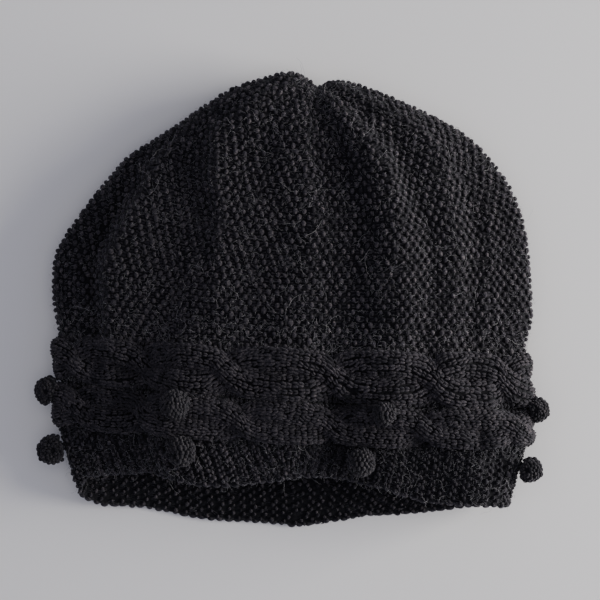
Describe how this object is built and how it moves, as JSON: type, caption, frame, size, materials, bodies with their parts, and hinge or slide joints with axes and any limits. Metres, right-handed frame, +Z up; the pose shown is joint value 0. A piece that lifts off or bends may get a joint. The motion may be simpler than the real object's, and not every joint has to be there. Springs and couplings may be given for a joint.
{
  "type": "knit hat",
  "caption": "Soft hand-knitted hat lying on its back: seed-stitch crown gathered to a pole, rope cables with round bobbles, and a seed-stitch brim with an open rim.",
  "frame": {"origin": "on the surface the hat lies on, under the middle of its box", "axes": "+Z up from the surface, +Y from the open rim to the crown's pole, +X across the hat, to the right of someone looking down on it"},
  "size_m": [0.283, 0.2522, 0.0571],
  "materials": {
    "seed_stitch_wool": "matte",
    "cable_wool": "matte",
    "bobble_wool": "matte"
  },
  "bodies": {
    "root": {"crown": "seed_stitch_wool", "brim": "seed_stitch_wool", "upper_cable": "cable_wool", "lower_cable": "cable_wool", "upper_bobble_1": "bobble_wool", "upper_bobble_2": "bobble_wool", "upper_bobble_3": "bobble_wool", "upper_bobble_4": "bobble_wool", "upper_bobble_5": "bobble_wool", "lower_bobble_1": "bobble_wool", "lower_bobble_2": "bobble_wool", "lower_bobble_3": "bobble_wool", "lower_bobble_4": "bobble_wool", "lower_bobble_5": "bobble_wool"}
  },
  "joints": []
}
